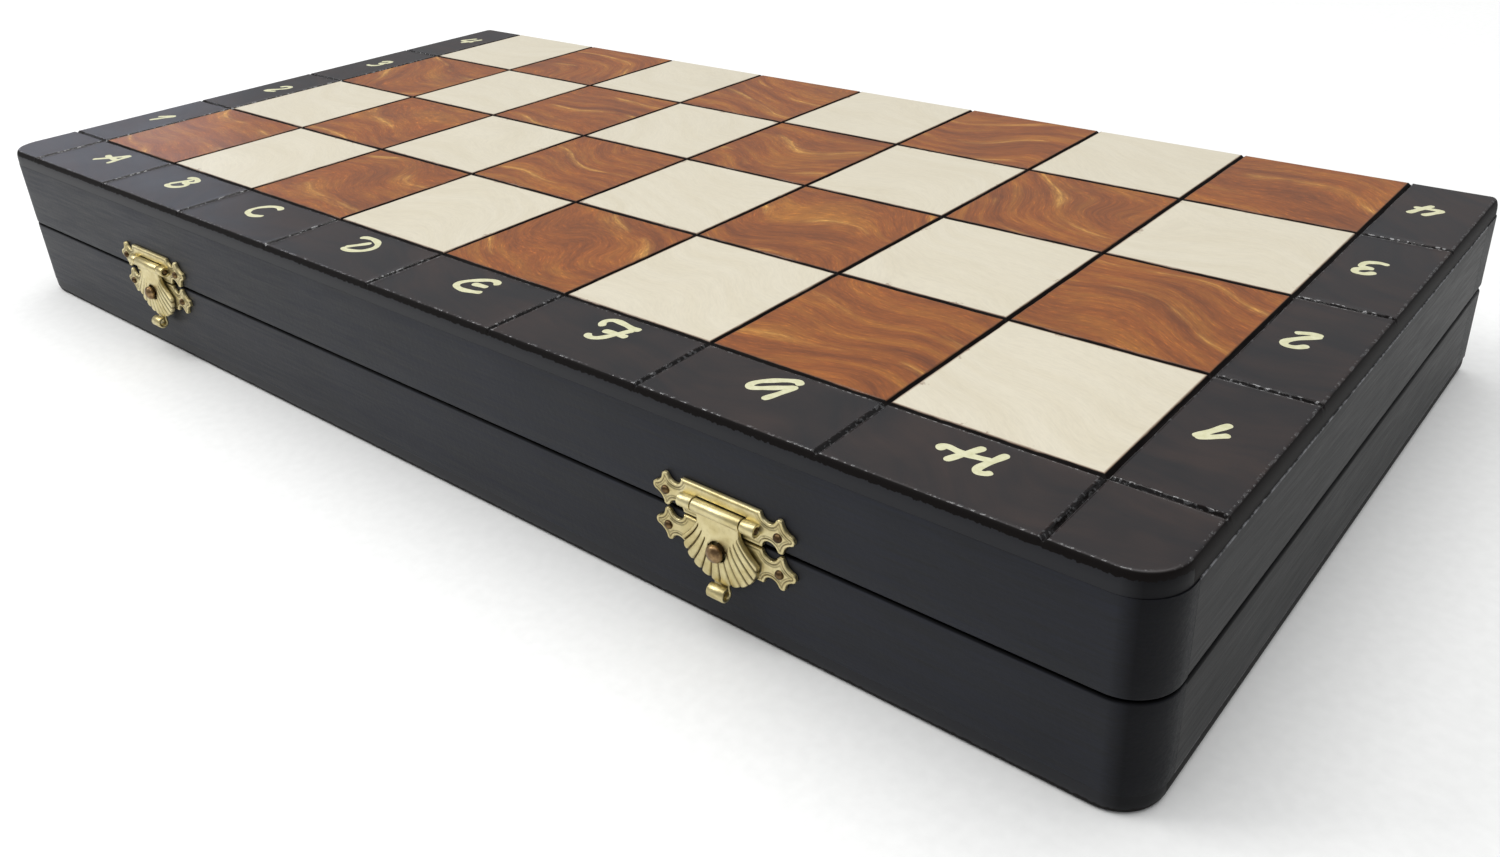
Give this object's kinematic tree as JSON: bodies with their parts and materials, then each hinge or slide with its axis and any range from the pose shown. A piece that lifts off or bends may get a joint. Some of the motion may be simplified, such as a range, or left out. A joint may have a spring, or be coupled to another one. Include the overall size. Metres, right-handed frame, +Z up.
{
  "type": "folding chess set",
  "caption": "Closed folding wooden chess case with a grooved checkered top, two brass hasps, a back hinge and chessmen in trays inside.",
  "frame": {"origin": "bottom centre of the closed object, latches and hinge barrels included", "axes": "+Z up, +X along the files from A to H, the two latches at the front (-Y), the fold hinges at the back (+Y)"},
  "size_m": [0.359, 0.187, 0.044],
  "materials": {
    "board": "stained and lacquered squares in a black painted border",
    "black_paint": "satin black paint over wood grain",
    "felt": "flocked",
    "maple": "lacquered",
    "walnut": "stained and lacquered",
    "brass": "stamped, satin",
    "patina": "darkened brass"
  },
  "bodies": {
    "lower_half": {"lower_playing_panel": "board", "lower_front_rail": "black_paint", "lower_back_rail": "black_paint", "lower_left_rail": "black_paint", "lower_right_rail": "black_paint", "lower_insert_tray": "felt", "white_pawn_a": "maple", "white_pawn_b": "maple", "white_pawn_c": "maple", "white_pawn_d": "maple", "white_rook_a": "maple", "white_knight_b": "maple", "white_bishop_c": "maple", "white_queen": "maple", "white_king": "maple", "white_bishop_f": "maple", "white_knight_g": "maple", "white_rook_h": "maple", "white_pawn_e": "maple", "white_pawn_f": "maple", "white_pawn_g": "maple", "white_pawn_h": "maple", "hinge_left_lower_leaf": "brass", "hinge_right_lower_leaf": "brass", "hinge_left_pin": "brass", "hinge_right_pin": "brass", "latch_left_lower_plate": "brass", "latch_right_lower_plate": "brass", "latch_left_stud": "patina", "latch_right_stud": "patina"},
    "upper_half": {"upper_playing_panel": "board", "upper_front_rail": "black_paint", "upper_back_rail": "black_paint", "upper_left_rail": "black_paint", "upper_right_rail": "black_paint", "upper_insert_tray": "felt", "black_pawn_a": "walnut", "black_pawn_b": "walnut", "black_pawn_c": "walnut", "black_pawn_d": "walnut", "black_rook_a": "walnut", "black_knight_b": "walnut", "black_bishop_c": "walnut", "black_queen": "walnut", "black_king": "walnut", "black_bishop_f": "walnut", "black_knight_g": "walnut", "black_rook_h": "walnut", "black_pawn_e": "walnut", "black_pawn_f": "walnut", "black_pawn_g": "walnut", "black_pawn_h": "walnut", "hinge_left_upper_leaf": "brass", "hinge_right_upper_leaf": "brass", "latch_left_upper_plate": "brass", "latch_right_upper_plate": "brass", "latch_left_pin": "brass", "latch_right_pin": "brass"},
    "left_hasp": {"latch_left_hasp": "brass"},
    "right_hasp": {"latch_right_hasp": "brass"}
  },
  "joints": [
    {"name": "case_fold", "type": "hinge", "parent": "lower_half", "child": "upper_half", "pos_m": [0, 0.09158, 0.022], "axis": [-1, 0, 0], "range_deg": [0, 180]},
    {"name": "left_hasp_swing", "type": "hinge", "parent": "upper_half", "child": "left_hasp", "pos_m": [-0.1, -0.09068, 0.0257], "axis": [-1, 0, 0], "range_deg": [0, 150]},
    {"name": "right_hasp_swing", "type": "hinge", "parent": "upper_half", "child": "right_hasp", "pos_m": [0.1, -0.09068, 0.0257], "axis": [-1, 0, 0], "range_deg": [0, 150]}
  ]
}
